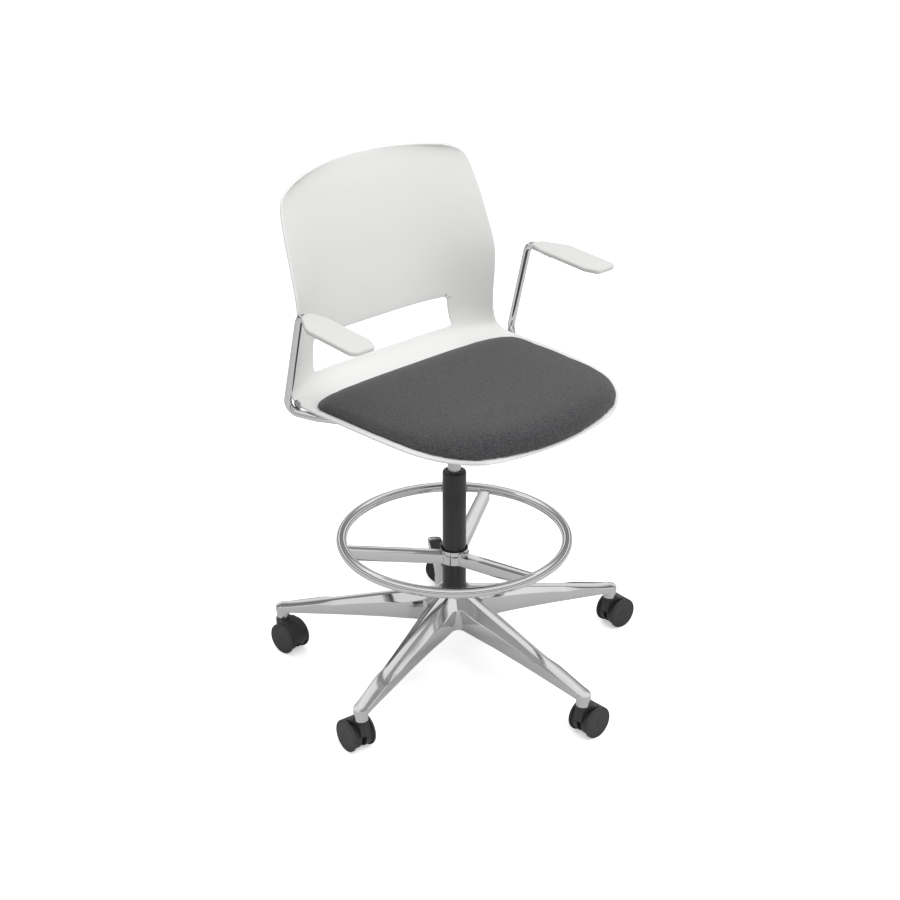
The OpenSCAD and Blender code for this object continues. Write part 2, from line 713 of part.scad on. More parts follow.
module star_base() {
    color("lightgray")
        difference() {
            union() {
                for (a = LEG_ANGLE) rotate([0, 0, a]) leg();
                rotate_extrude() polygon([[0, hub_bottom_z - 2], [46, hub_bottom_z - 2], [50, hub_bottom_z + 2],
                                          [50, hub_top_z - 34], [37, hub_top_z - 5], [34, hub_top_z], [0, hub_top_z]]);
                socket_places() translate([0, 0, socket_z]) cylinder(d = socket_d, h = 20);
            }
            translate([0, 0, 90]) cylinder(d = column_d + 0.1, h = 120);
            socket_places() translate([0, 0, socket_z - 1])
                cylinder(d = stem_d + 2 * sleeve_wall + 2 * running_gap + 0.06, h = sleeve_h + 1.2);
        }
}

// Steel sleeves that line the caster sockets
module socket_sleeves() {
    color("dimgray")
        socket_places() translate([0, 0, socket_z]) difference() {
            cylinder(d = stem_d + 2 * running_gap + 2 * sleeve_wall, h = sleeve_h);
            translate([0, 0, -1]) cylinder(d = stem_d + 2 * running_gap, h = sleeve_h + 2);
        }
}

// ---- casters: local +X is the trail, the stem axis is at x = 0 ----

module caster_frame(k) {
    translate(concat(polar(stem_circle_r, LEG_ANGLE[k]), 0)) rotate([0, 0, TRAIL_ANGLE[k]]) children();
}
module on_axle() {
    translate([caster_trail, 0, wheel_z]) rotate([-90, 0, 0]) children();
}

module caster_stem(k) {
    color("silver")
        caster_frame(k) difference() {
            translate([0, 0, stem_bottom_z]) cylinder(d = stem_d, h = socket_z + sleeve_h - 1 - stem_bottom_z);
            translate([0, 0, 90]) difference() {
                cylinder(d = 20, h = 2);
                translate([0, 0, -1]) cylinder(d = stem_d - 2, h = 4);
            }
        }
}

// Neck, web between the wheels, and the cover over their treads: a wedge from the neck, then an arc
module caster_hood(k) {
    reach = norm([caster_trail - neck_r, neck_top_z - wheel_z]);
    tangent = atan2(neck_top_z - wheel_z, neck_r - caster_trail) - acos(hood_r / reach);
    wedge_half = hood_half_w - 0.4;
    trail_end = 12;
    split_z = 41;
    color("#333333")
        caster_frame(k) difference() {
            union() {
                cylinder(r = neck_r, h = neck_top_z);
                on_axle() translate([0, 0, -web_half]) cylinder(r = web_r, h = 2 * web_half);
                translate([-9, -web_half, wheel_z]) cube([36, 2 * web_half, 28]);
                on_axle() rotate([0, 0, -110]) rotate_extrude(angle = 110 + trail_end)
                    translate([tread_r, -hood_half_w]) square([hood_r - tread_r, 2 * hood_half_w]);
                translate([0, wedge_half, 0]) rotate([90, 0, 0]) linear_extrude(2 * wedge_half)
                    polygon([[neck_r - 1, neck_top_z - 0.5], [1, neck_top_z - 0.5], [1, wheel_z + 2],
                             [caster_trail, wheel_z + 2], [caster_trail, wheel_z] + polar(hood_r - 0.2, tangent)]);
            }
            for (side = [-1, 1]) on_axle()
                translate([0, 0, side > 0 ? web_half : -30 - web_half]) cylinder(r = tread_r + hood_gap, h = 30);
            translate([-30, -30, -1]) cube([60, 60, split_z + 1]);
            translate([0, 0, stem_bottom_z - 2]) cylinder(d = stem_d + 0.04, h = 40);
        }
    color("#333333")
        caster_frame(k) difference() {
            on_axle() translate([0, 0, -web_half]) cylinder(r = web_r, h = 2 * web_half);
            translate([-30, -30, split_z]) cube([80, 60, 42]);
            on_axle() translate([0, 0, -20]) cylinder(d = axle_d + 0.04, h = 40);
        }
}

module caster_axle(k) {
    half = wheel_inner_y + wheel_w - 6;
    color("silver")
        caster_frame(k) on_axle() translate([0, 0, -half]) cylinder(d = axle_d, h = 2 * half);
}

module caster_wheel(k, side) {
    lip = 1.8;
    outer_y = wheel_inner_y + wheel_w;
    color("#3d3d3d")
        caster_frame(k) on_axle() mirror([0, 0, side > 0 ? 0 : 1]) difference() {
            rotate_extrude() polygon([[0, wheel_inner_y], [tread_r - 1.5, wheel_inner_y],
                                      [tread_r, wheel_inner_y + 1.5], [tread_r, outer_y - wheel_rim_w],
                                      [wheel_z, outer_y - wheel_rim_w], [wheel_z, outer_y - lip],
                                      [wheel_z - lip, outer_y], [0, outer_y]]);
            cylinder(d = axle_d + 2 * running_gap, h = outer_y - 5.5);
        }
}

module caster_piece(name) {
    for (k = [0:CASTERS - 1]) {
        head = str("caster_", k + 1, "_");
        if (name == str(head, "hood")) caster_hood(k);
        if (name == str(head, "stem")) caster_stem(k);
        if (name == str(head, "axle")) caster_axle(k);
        if (name == str(head, "wheel_left")) caster_wheel(k, 1);
        if (name == str(head, "wheel_right")) caster_wheel(k, -1);
    }
}

// ---- every node ----

seat_shell();
seat_cushion();
cushion_board();
arm_tube_left();
arm_tube_right();
arm_pad_left();
arm_pad_right();
arm_screws();
pad_screws();
tube_saddles();
saddle_screws();
seat_plate();
plate_spacers();
plate_screws();
mechanism_housing();
lever_pin();
release_lever();
lever_paddle();
gas_cylinder();
valve_button();
column_tube();
guide_bush();
piston_rod();
thrust_bearing();
retaining_clip();
ring_liner();
ring_tube();
ring_hub();
ring_set_screw();
star_base();
socket_sleeves();
for (name = CASTER_NODES) caster_piece(name);
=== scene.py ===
"""Drafting chair: moulded seat, pad, arms, foot ring, star base and casters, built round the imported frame."""
import math

import bpy
from mathutils import Matrix, Vector


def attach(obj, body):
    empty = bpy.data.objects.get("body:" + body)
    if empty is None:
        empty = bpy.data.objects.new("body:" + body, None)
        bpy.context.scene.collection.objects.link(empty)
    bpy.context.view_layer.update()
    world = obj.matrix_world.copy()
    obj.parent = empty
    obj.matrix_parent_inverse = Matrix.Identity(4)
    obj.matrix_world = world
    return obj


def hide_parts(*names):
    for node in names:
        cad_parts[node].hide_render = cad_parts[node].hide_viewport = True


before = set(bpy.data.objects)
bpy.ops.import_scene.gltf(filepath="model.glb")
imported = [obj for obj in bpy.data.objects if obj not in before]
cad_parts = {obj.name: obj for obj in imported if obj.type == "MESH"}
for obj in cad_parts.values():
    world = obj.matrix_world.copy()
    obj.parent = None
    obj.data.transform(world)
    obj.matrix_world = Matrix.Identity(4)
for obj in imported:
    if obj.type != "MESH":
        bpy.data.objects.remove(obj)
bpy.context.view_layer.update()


MM = 0.001


# ---- working by hand: small moves shared by every piece ----

def put_down():
    """Leave edit mode and let go of everything."""
    if bpy.context.object and bpy.context.object.mode != "OBJECT":
        bpy.ops.object.mode_set(mode="OBJECT")
    bpy.ops.object.select_all(action="DESELECT")


def take(piece):
    put_down()
    piece.select_set(True)
    bpy.context.view_layer.objects.active = piece
    return piece


def named(name):
    piece = bpy.context.object
    piece.name = name
    piece.data.name = name
    return piece


def all_of(piece):
    take(piece)
    bpy.ops.object.mode_set(mode="EDIT")
    bpy.ops.mesh.select_all(action="SELECT")


def choose(piece, kind, wanted):
    """Select the vertices, edges or faces that pass wanted(), and stay in edit mode."""
    take(piece)
    bpy.ops.object.mode_set(mode="EDIT")
    bpy.ops.mesh.select_mode(type=kind)
    bpy.ops.mesh.select_all(action="DESELECT")
    bpy.ops.object.mode_set(mode="OBJECT")
    mesh = piece.data
    if kind == "VERT":
        for v in mesh.vertices:
            v.select = bool(wanted(v.co))
    elif kind == "EDGE":
        for e in mesh.edges:
            a, b = (mesh.vertices[i].co for i in e.vertices)
            e.select = bool(wanted(a, b))
    else:
        for f in mesh.polygons:
            f.select = bool(wanted(f))
    bpy.ops.object.mode_set(mode="EDIT")


def clean(piece, near=0.00002):
    """Merge doubled points and turn every face outwards."""
    all_of(piece)
    bpy.ops.mesh.remove_doubles(threshold=near)
    bpy.ops.mesh.dissolve_degenerate(threshold=near)
    bpy.ops.mesh.select_all(action="SELECT")
    bpy.ops.mesh.normals_make_consistent(inside=False)
    put_down()
    return piece


def worked(piece, kind, **settings):
    """Add one modifier, set it and apply it."""
    take(piece)
    mod = piece.modifiers.new(kind.title(), kind)
    for key, value in settings.items():
        setattr(mod, key, value)
    bpy.ops.object.modifier_apply(modifier=mod.name)
    return piece


def eased(piece, width, angle=30, steps=3, keep=True):
    """Round every edge sharper than angle."""
    return worked(piece, "BEVEL", width=width, segments=steps, limit_method="ANGLE",
                  angle_limit=math.radians(angle), harden_normals=False, use_clamp_overlap=keep)


def shaded(piece, angle=35):
    take(piece)
    bpy.ops.object.shade_smooth_by_angle(angle=math.radians(angle))
    return piece


def settled(piece, place=None):
    """Turn the object's place into its mesh, after an optional last move."""
    if place is not None:
        piece.matrix_world = place @ piece.matrix_world
    take(piece)
    bpy.ops.object.transform_apply(location=True, rotation=True, scale=True)
    return piece


def copy_of(piece, name, place=None):
    other = piece.copy()
    other.data = piece.data.copy()
    other.name = other.data.name = name
    bpy.context.scene.collection.objects.link(other)
    if place is not None:
        other.data.transform(place)
        if place.determinant() < 0:
            other.data.flip_normals()
    return other


def joined(pieces, name):
    take(pieces[0])
    for other in pieces[1:]:
        other.select_set(True)
    bpy.ops.object.join()
    return named(name)


def ring_of(radius, z, sides):
    put_down()
    bpy.ops.mesh.primitive_circle_add(vertices=sides, radius=radius, location=(0, 0, z))
    return bpy.context.object


def turned(name, profile, sides=64, closed_ends=True):
    """A turned piece about Z: a circle drawn up and out through the profile's [radius, z] pairs, in mm."""
    (r, z), rest = profile[0], profile[1:]
    piece = ring_of(r * MM, z * MM, sides)
    settled(piece)
    bpy.ops.object.mode_set(mode="EDIT")
    bpy.ops.mesh.select_mode(type="VERT")
    bpy.ops.mesh.select_all(action="SELECT")
    if closed_ends:
        bpy.ops.mesh.edge_face_add()
    for r2, z2 in rest:
        bpy.ops.mesh.extrude_edges_move(TRANSFORM_OT_translate={"value": (0, 0, (z2 - z) * MM)})
        k = r2 / r
        bpy.ops.transform.resize(value=(k, k, 1), center_override=(0, 0, z2 * MM))
        r, z = r2, z2
    if closed_ends:
        bpy.ops.mesh.edge_face_add()
    put_down()
    piece.name = piece.data.name = name
    return clean(piece)


def prism(name, outline, low, high):
    """A flat outline in mm, filled and drawn up from low to high."""
    put_down()
    bpy.ops.mesh.primitive_circle_add(vertices=len(outline), radius=1)
    piece = named(name)
    for v, (x, y) in zip(piece.data.vertices, outline, strict=True):
        v.co = (x * MM, y * MM, low * MM)
    all_of(piece)
    bpy.ops.mesh.edge_face_add()
    bpy.ops.mesh.extrude_region_move(TRANSFORM_OT_translate={"value": (0, 0, (high - low) * MM)})
    return clean(piece)


def cut_from(piece, tool, operation="DIFFERENCE"):
    worked(piece, "BOOLEAN", object=tool, operation=operation, solver="EXACT")
    bpy.data.objects.remove(tool)
    return piece


def round_corners(corners, step=10):
    """[x, y, radius] corners as a rounded outline."""
    out = []
    for i, (cx, cy, r) in enumerate(corners):
        c = Vector((cx, cy))
        a = (Vector(corners[i - 1][:2]) - c).normalized()
        b = (Vector(corners[(i + 1) % len(corners)][:2]) - c).normalized()
        half = math.acos(max(-1, min(1, a.dot(b)))) / 2
        middle = (a + b).normalized() * (r / math.sin(half))
        start, end = a * (r / math.tan(half)) - middle, b * (r / math.tan(half)) - middle
        turn = math.pi - 2 * half
        steps = max(1, math.ceil(math.degrees(turn) / step))
        sign = 1 if start.x * end.y - start.y * end.x > 0 else -1
        for k in range(steps + 1):
            w = sign * turn * k / steps
            cos, sin = math.cos(w), math.sin(w)
            swung = Vector((start.x * cos - start.y * sin, start.x * sin + start.y * cos))
            out.append(tuple(c + middle + swung))
    return out


def bent_line(points, bend, step=6):
    """Points in mm joined by straight runs and round bends."""
    pts = [Vector(p) for p in points]
    line = [pts[0]]
    for a, b, c in zip(pts, pts[1:], pts[2:]):
        u, v = (b - a).normalized(), (c - b).normalized()
        turn = u.angle(v)
        cut = bend * math.tan(turn / 2)
        inward = (v - u * u.dot(v)).normalized()
        centre = b - u * cut + inward * bend
        count = max(2, math.ceil(math.degrees(turn) / step))
        for k in range(count + 1):
            w = turn * k / count
            line.append(centre + (u * math.sin(w) - inward * math.cos(w)) * bend)
    line.append(pts[-1])
    return line


def rod(name, line, radius, sides=6):
    """A round rod along a line of points in mm, as a mesh with closed ends."""
    put_down()
    curve = bpy.data.curves.new(name, "CURVE")
    curve.dimensions = "3D"
    run = curve.splines.new("POLY")
    run.points.add(len(line) - 1)
    for p, q in zip(run.points, line, strict=True):
        p.co = (*(Vector(q) * MM), 1)
    curve.bevel_depth = radius * MM
    curve.bevel_resolution = sides
    curve.use_fill_caps = True
    piece = bpy.data.objects.new(name, curve)
    bpy.context.scene.collection.objects.link(piece)
    take(piece)
    bpy.ops.object.convert(target="MESH")
    return clean(bpy.context.object)


def about_z(degrees):
    return Matrix.Rotation(math.radians(degrees), 4, "Z")


def polar(radius, degrees):
    return Vector((radius * math.cos(math.radians(degrees)), radius * math.sin(math.radians(degrees)), 0))


# ---- the moulded shell, the same loft as the frame's ----

STATIONS = [
    (-303, 632, 172, -280, 640, 2.0), (-297, 637, 214, -256, 645, 2.0), (-282, 641, 248, -222, 651, 2.2),
    (-252, 644, 272, -178, 657, 2.5), (-200, 645, 284, -120, 661, 3.0), (-120, 643, 289, -50, 662, 3.5),
    (-30, 641, 291, 20, 662, 4.0), (60, 639, 292, 85, 661, 4.0), (130, 638, 292, 128, 660, 4.0),
    (182, 645, 289, 156, 664, 4.0), (211, 659, 283, 168, 676, 4.0), (226, 675, 278, 170, 690, 4.0),
    (236, 704, 272, 169, 716, 4.0), (241, 741, 268, 165, 750, 3.8), (249, 800, 267, 160, 805, 3.4),
    (258, 860, 267, 162, 860, 3.0), (265, 920, 264, 180, 918, 2.7), (273, 980, 260, 201, 975, 2.5),
    (280, 1030, 254, 219, 1020, 2.4), (286, 1062, 244, 230, 1048, 2.3), (289, 1079, 224, 238, 1063, 2.2),
    (291, 1087, 192, 248, 1073, 2.1)]
TOP = len(STATIONS) - 1
SHELL_T, SLOT_CORNER, SHELL_ROUND = 6, 9, 2.6
SLOT_LOW, SLOT_HIGH, SLOT_U = 11, 13, 0.69


def spline(a, b, c, d, t):
    """A smooth curve from b to c, led by its neighbours a and d."""
    return 0.5 * (2 * b + (c - a) * t + (2 * a - 5 * b + 4 * c - d) * t * t
                  + (3 * b - a - 3 * c + d) * t ** 3)


def shell_point(u, s):
    i = max(0, min(int(math.floor(s)), TOP - 1))
    rows = [STATIONS[max(i - 1, 0)], STATIONS[i], STATIONS[i + 1], STATIONS[min(i + 2, TOP)]]
    yc, zc, w, yr, zr, power = (spline(*column, s - i) for column in zip(*rows))
    k = abs(u) ** power
    return Vector((w * u, yc + (yr - yc) * k, zc + (zr - zc) * k))


def shell_normal(u, s):
    across = shell_point(min(u + 0.02, 1), s) - shell_point(max(u - 0.02, -1), s)
    along = shell_point(u, min(s + 0.02, TOP)) - shell_point(u, max(s - 0.02, 0))
    return across.cross(along).normalized()


def above_shell(u, s, lift):
    return (shell_point(u, s) + shell_normal(u, s) * lift) * MM


def grid(name, columns, rows, place):
    """A flat grid whose points are then set by place(i, j), for i in columns and j in rows."""
    put_down()
    bpy.ops.mesh.primitive_grid_add(x_subdivisions=columns - 1, y_subdivisions=rows - 1, size=2)
    piece = named(name)
    for v in piece.data.vertices:
        i = round((v.co.x + 1) / 2 * (columns - 1))
        j = round((v.co.y + 1) / 2 * (rows - 1))
        v.co = place(i, j)
    return piece


def make_shell():
    half = [0, 0.06, 0.13, 0.2, 0.27, 0.345, 0.42, 0.5, 0.575, 0.64, SLOT_U, 0.74, 0.79, 0.84, 0.88, 0.915,
            0.945, 0.97, 0.99, 1]
    us = [-x for x in half[:0:-1]] + half
    ss = [k / 4 for k in range(4 * TOP + 1)]
    piece = grid("shell", len(us), len(ss), lambda i, j: shell_point(us[i], ss[j]) * MM)
    spot = {tuple(round(x, 6) for x in shell_point(u, b) * MM): (i, j) for j, b in enumerate(ss)
            for i, u in enumerate(us)}
    where = [spot[tuple(round(x, 6) for x in v.co)] for v in piece.data.vertices]
    left, right, low, high = us.index(-SLOT_U), us.index(SLOT_U), SLOT_LOW * 4, SLOT_HIGH * 4

    def in_slot(face):
        return all(left <= where[k][0] <= right and low <= where[k][1] <= high for k in face.vertices)
    choose(piece, "FACE", in_slot)
    bpy.ops.mesh.delete(type="FACE")
    put_down()
    corners = [shell_point(a, b) * MM for a in (-SLOT_U, SLOT_U) for b in (SLOT_LOW, SLOT_HIGH)]
    choose(piece, "VERT", lambda p: any((p - c).length < 1e-5 for c in corners))
    bpy.ops.mesh.bevel(affect="VERTICES", offset=SLOT_CORNER * MM, segments=5, profile=0.5)
    put_down()
    worked(piece, "SOLIDIFY", thickness=SHELL_T * MM, offset=-1, use_even_offset=False, use_rim=True)
    clean(piece)
    eased(piece, SHELL_ROUND * MM, angle=50, steps=4, keep=False)
    return shaded(piece, 40)


# ---- the seat pad ----

PAD_FIRST, PAD_LAST = 0.5, 8.5
PAD_T, BOARD_T, PAD_GAP, PAD_EDGE = 28, 7, 1.2, 5
PAD_SHRINK = 1.6      # the cloth is drawn in by this much, so the pad stays inside the frame's
PAD_VOXEL = 3.6
CLOTH_STEPS, CLOTH_PRESSURE, CLOTH_REACH = 20, 4, 5


def pad_reach(s):
    return 0.965 if s < 7 else 0.66 + 0.305 * math.sqrt(max(0, 1 - ((s - 7) / (PAD_LAST - 7)) ** 2))


def pad_lift(a, s):
    def ramp(x, span):
        return 1 - (1 - min(1, max(0, x) / span)) ** 3
    full = PAD_T + BOARD_T + PAD_GAP - PAD_EDGE
    return PAD_EDGE + full * (1 - abs(a) ** 4) * ramp(s - PAD_FIRST, 2.5) * ramp(PAD_LAST - s, 1.6)


def make_pad():
    side = [0, 0.12, 0.24, 0.36, 0.48, 0.58, 0.67, 0.75, 0.82, 0.88, 0.93, 0.965, 0.985, 1]
    across = [-x for x in side[:0:-1]] + side
    count = 49
    rows = [PAD_FIRST + (PAD_LAST - PAD_FIRST) * k / (count - 1) for k in range(count)]

    def on_board(a, s):
        return abs(a) <= 0.7 and 2.5 <= s <= 7.5

    def face(lift):
        return lambda i, j: above_shell(across[i] * pad_reach(rows[j]), rows[j], lift(across[i], rows[j]))
    upper = grid("seat_pad", len(across), count, face(lambda a, s: PAD_GAP + pad_lift(a, s) - PAD_SHRINK))
    lower = grid("pad_under", len(across), count,
                 face(lambda a, s: 2 * PAD_GAP + BOARD_T if on_board(a, s) else PAD_GAP))
    take(lower)
    lower.data.flip_normals()
    piece = joined([upper, lower], "seat_pad")
    choose(piece, "EDGE", lambda a, b: False)
    bpy.ops.mesh.select_non_manifold(extend=False, use_wire=False, use_multi_face=False,
                                     use_non_contiguous=False, use_verts=False)
    bpy.ops.mesh.bridge_edge_loops()
    put_down()
    clean(piece, 0.0002)
    worked(piece, "REMESH", mode="VOXEL", voxel_size=PAD_VOXEL * MM)
    before = [v.co.copy() for v in piece.data.vertices]
    facing_up = [v.normal.z for v in piece.data.vertices]
    take(piece)
    cloth = piece.modifiers.new("Cloth", "CLOTH")
    cloth.settings.use_pressure = True
    cloth.settings.uniform_pressure_force = CLOTH_PRESSURE
    cloth.settings.effector_weights.gravity = 0
    cloth.settings.quality = 4
    cloth.collision_settings.use_collision = False
    for step in range(1, CLOTH_STEPS + 1):
        bpy.context.scene.frame_set(step)
    bpy.ops.object.modifier_apply(modifier=cloth.name)
    bpy.context.scene.frame_set(1)
    for v, was, up in zip(piece.data.vertices, before, facing_up, strict=True):
        move = v.co - was
        free = min(1, max(0, (up + 0.1) / 0.6))
        if move.length > CLOTH_REACH * MM:
            move *= CLOTH_REACH * MM / move.length
        v.co = was + move * free
    worked(piece, "SMOOTH", iterations=26, factor=0.5)
    take(piece)
    bpy.ops.object.shade_smooth()
    return piece


# ---- arms ----

ARM_X, ARM_R, ARM_BEND = 311, 8, 24
ARM_RUN_Y, ARM_RUN_Z = 64, 612.9
ARM_LINE = [(ARM_X, 30, 861.4), (ARM_X, 103, 865.7), (ARM_X, 157, 647), (283, 98, 642), (240, 66, 632),
            (196, ARM_RUN_Y, ARM_RUN_Z), (30, ARM_RUN_Y, ARM_RUN_Z)]
LUG_SPOT, LUG_T, WASHER_T = (294.5, 139, 663), 3, 1.6
PAD_SPOT, PAD_SLOPE, REST_T = (ARM_X, 78, 873.6), 3.4, 10
REST_OUTLINE = [(-13, 4, 9), (-22, -30, 60), (-22, -158, 18), (-10, -188, 12), (46, -188, 16), (46, -50, 40),
                (14, 4, 12)]


def rest_place():
    return Matrix.Translation(Vector(PAD_SPOT) * MM) @ Matrix.Rotation(math.radians(PAD_SLOPE), 4, "X")


def make_arm_tube():
    piece = rod("arm_tube_bright", bent_line(ARM_LINE, ARM_BEND, 5), ARM_R, 8)
    outline = round_corners([(-8.8, -9, 8.7), (17, -6.5, 1), (17, 6.5, 1), (-8.8, 9, 8.7)])
    lug = prism("lug", outline, 0, LUG_T)
    settled(lug, Matrix.Translation(Vector(LUG_SPOT) * MM) @ Matrix.Rotation(math.pi / 2, 4, "Y"))
    eased(lug, 0.8 * MM, 40, 2)
    return shaded(joined([piece, lug], "arm_tube_bright"), 40)


def make_arm_rest():
    outline = round_corners(REST_OUTLINE, 8)
    piece = prism("arm_rest", outline, -REST_T, 0)
    eased(piece, 3.2 * MM, 50, 5)
    boss = turned("boss", [(6, 0), (8.2, 0), (9.3, 1.2), (9.3, 60), (8.4, 61.6), (6, 61.6)], 48)
    settled(boss, Matrix.Translation(Vector((0, -56, -9.4)) * MM) @ Matrix.Rotation(-math.pi / 2, 4, "X"))
    piece = joined([piece, boss], "arm_rest")
    settled(piece, rest_place())
    return shaded(piece, 40)


def screw_head(name, head_r, head_h, key_r):
    """A button head with its hexagon key socket, standing on z = 0."""
    return turned(name, [(key_r * 0.5, head_h * 0.45), (key_r, head_h * 0.45), (key_r, head_h),
                         (head_r * 0.62, head_h), (head_r * 0.86, head_h * 0.7), (head_r, head_h * 0.25),
                         (head_r, 0), (head_r * 0.5, 0)], 36)


def make_arm_screw():
    washer = turned("washer", [(3, 0), (8.1, 0), (8.5, 0.4), (8.5, 1.2), (8.1, WASHER_T), (3, WASHER_T)], 48)
    head = screw_head("head", 5.5, 3, 1.9)
    settled(head, Matrix.Translation((0, 0, WASHER_T * MM)))
    piece = joined([washer, head], "arm_screw")
    out = Vector(LUG_SPOT) + Vector((LUG_T + 0.1, 0, 0))
    settled(piece, Matrix.Translation(out * MM) @ Matrix.Rotation(math.pi / 2, 4, "Y"))
    return shaded(piece, 35)


# ---- castings: a star of arms round a hub ----

ACROSS_COUNT = 7      # points from an arm's ridge to its edge
VALLEY_ROWS = 4       # rows between the hub and the valley between two arms
CORNER_STEPS = 6      # rows round the valley's fillet, and round an arm's end


def cast_star(name, arms, hub_r, fillet, root_half, plan, height, under, stations, across, wall, end_r=None):
    """A star-shaped casting: half an arm as a grid, mirrored, turned about Z into every arm and given a wall.
    plan(x) is an arm's half width, height(x, y) its upper surface and under(r) its lower edge. stations run
    out along the arm. across(j, b, x) is point j's distance from the ridge, where b is the edge's point."""
    half = math.pi / arms
    centre = (root_half + fillet) / math.sin(half)
    valley, touch = centre - fillet, centre * math.cos(half)
    inner = [hub_r + (valley - hub_r) * k / VALLEY_ROWS for k in range(VALLEY_ROWS)]
    turn = math.pi / 2 - half
    edge, ridge = [], []
    for r in inner:
        edge.append(Vector((r * math.cos(half), r * math.sin(half))))
        ridge.append(hub_r + (r - hub_r) * 0.9)
    hollow = Vector((centre * math.cos(half), centre * math.sin(half)))
    last_inner = ridge[-1]
    for k in range(CORNER_STEPS):
        w = math.pi + half + turn * k / (CORNER_STEPS - 1)
        edge.append(hollow + Vector((math.cos(w), math.sin(w))) * fillet)
        ridge.append(last_inner + (touch - last_inner) * (k + 1) / CORNER_STEPS)
    for x in stations:
        edge.append(Vector((x, plan(x))))
        ridge.append(x)
    if end_r:
        tip_half = plan(end_r)
        for k in range(1, CORNER_STEPS + 1):
            w = math.pi / 2 * (1 - k / CORNER_STEPS)
            edge.append(Vector((end_r + tip_half * math.cos(w), tip_half * math.sin(w))))
            ridge.append(end_r + tip_half * 0.9 * k / CORNER_STEPS)

    def place(i, j):
        b, x0 = edge[i], ridge[i]
        y = across(j, b, x0)
        t = min(1, y / b.y) if b.y > 1e-6 else j / (ACROSS_COUNT - 1)
        p = Vector((x0, 0)).lerp(b, t)
        if i == 0:
            p = Vector((hub_r * math.cos(half * t), hub_r * math.sin(half * t)))
        return Vector((p.x, p.y, height(p.x, p.y))) * MM

    piece = grid(name, len(edge), ACROSS_COUNT, place)
    rim = {tuple(round(c, 6) for c in place(i, ACROSS_COUNT - 1)) for i in range(VALLEY_ROWS, len(edge))}
    choose(piece, "EDGE", lambda a, b: all(tuple(round(c, 6) for c in p) in rim for p in (a, b)))
    bpy.ops.mesh.extrude_edges_move(TRANSFORM_OT_translate={"value": (0, 0, -MM)})
    bpy.ops.object.mode_set(mode="OBJECT")
    for v in piece.data.vertices:
        if v.select:
            v.co.z = under(math.hypot(v.co.x, v.co.y) / MM) * MM
    take(piece)
    other = copy_of(piece, "other_half", Matrix.Diagonal((1, -1, 1, 1)))
    piece = joined([piece, other], name)
    clean(piece)
    parts = [piece] + [copy_of(piece, "arm", about_z(360 / arms * k)) for k in range(1, arms)]
    piece = joined(parts, name)
    clean(piece, 0.00005)
    worked(piece, "SOLIDIFY", thickness=wall * MM, offset=-1, use_even_offset=False)
    return piece


def eased_step(x, a, b):
    """From 0 at a to 1 at b, with a soft start and end."""
    t = min(1, max(0, (x - a) / (b - a)))
    return t * t * (3 - 2 * t)


# ---- the star base ----

LEGS = [126 + 72 * k for k in range(5)]
TRAILS = [274, 84, 0, 356, 300]
STEM_R, TIP_HALF = 384, 15.8
LEG_WIDTHS = [(0, 30), (95, 30), (150, 24.5), (230, 20), (372, 15.9), (STEM_R, TIP_HALF)]
LEG_STATIONS = [80, 95, 110, 130, 150, 175, 200, 230, 250, 262, 270, 278, 286, 295, 304, 320, 345, 365,
                STEM_R]
RIDGE_HALF, LEAF_FROM, LEAF_TO = 9, 262, 304     # half the ridge, and where it spreads to the whole leg
LEG_END_Z, LEG_SLOPE, LEG_DROP_X = 104, 0.238, 376
FLANK_SLOPE, CROWN = 0.7, 0.004
BASE_HUB_R, BASE_FILLET, BASE_ROOT, BASE_WALL = 33, 15, 30, 4.5


def leg_half(x):
    for (x1, w1), (x2, w2) in zip(LEG_WIDTHS, LEG_WIDTHS[1:]):
        if x <= x2:
            t = (x - x1) / (x2 - x1)
            return w1 + (w2 - w1) * t
    return LEG_WIDTHS[-1][1]


def strip_half(x):
    """Half the flat ridge on top of a leg: narrow as far as the leaf's tip, then the leg's whole width."""
    return RIDGE_HALF + (leg_half(x) - 1.2 - RIDGE_HALF) * eased_step(x, LEAF_FROM, LEAF_TO)


def leg_height(x, y):
    past = x - LEG_DROP_X
    ridge = LEG_END_Z + (STEM_R - x) * LEG_SLOPE if past < 0 else 105.9 - 0.06 * past - 0.006 * past ** 2
    side = max(0, y - strip_half(x))
    crown = CROWN * min(y, strip_half(x)) ** 2
    return ridge - crown - FLANK_SLOPE * side


def leg_across(j, b, x):
    s = min(strip_half(x), 0.93 * b.y)
    return [0, 0.5 * s, s, s + (b.y - s) * 0.3, s + (b.y - s) * 0.6, s + (b.y - s) * 0.88, b.y][j]


def leg_under(r):
    return 128 - 0.095 * r if r > 95 else 119 - 0.01 * (95 - r)


def make_base():
    piece = cast_star("base_casting", len(LEGS), BASE_HUB_R, BASE_FILLET, BASE_ROOT, leg_half, leg_height,
                      leg_under, LEG_STATIONS, leg_across, BASE_WALL, STEM_R)
    eased(piece, 1.3 * MM, 19, 3)
    hub = turned("hub", [(25.3, 191), (26, 192), (32.6, 192), (34, 191.2), (35.6, 187.5), (36.6, 182),
                         (37, 170), (37, 118), (36, 117), (26, 117), (25.3, 117.6), (25.3, 190.9)], 96, False)
    piece = joined([piece, hub], "base_casting")
    sockets = []
    for a in LEGS:
        socket = turned("socket", [(7.4, 76), (8, 75), (13.4, 75), (14.2, 75.8), (14.3, 98), (7.4, 98)], 48,
                        False)
        settled(socket, Matrix.Translation(polar(STEM_R * MM, a)))
        sockets.append(socket)
    piece.data.transform(about_z(LEGS[0]))
    piece = joined([piece, *sockets], "base_casting")
    return shaded(piece, 30)


# ---- foot ring ----

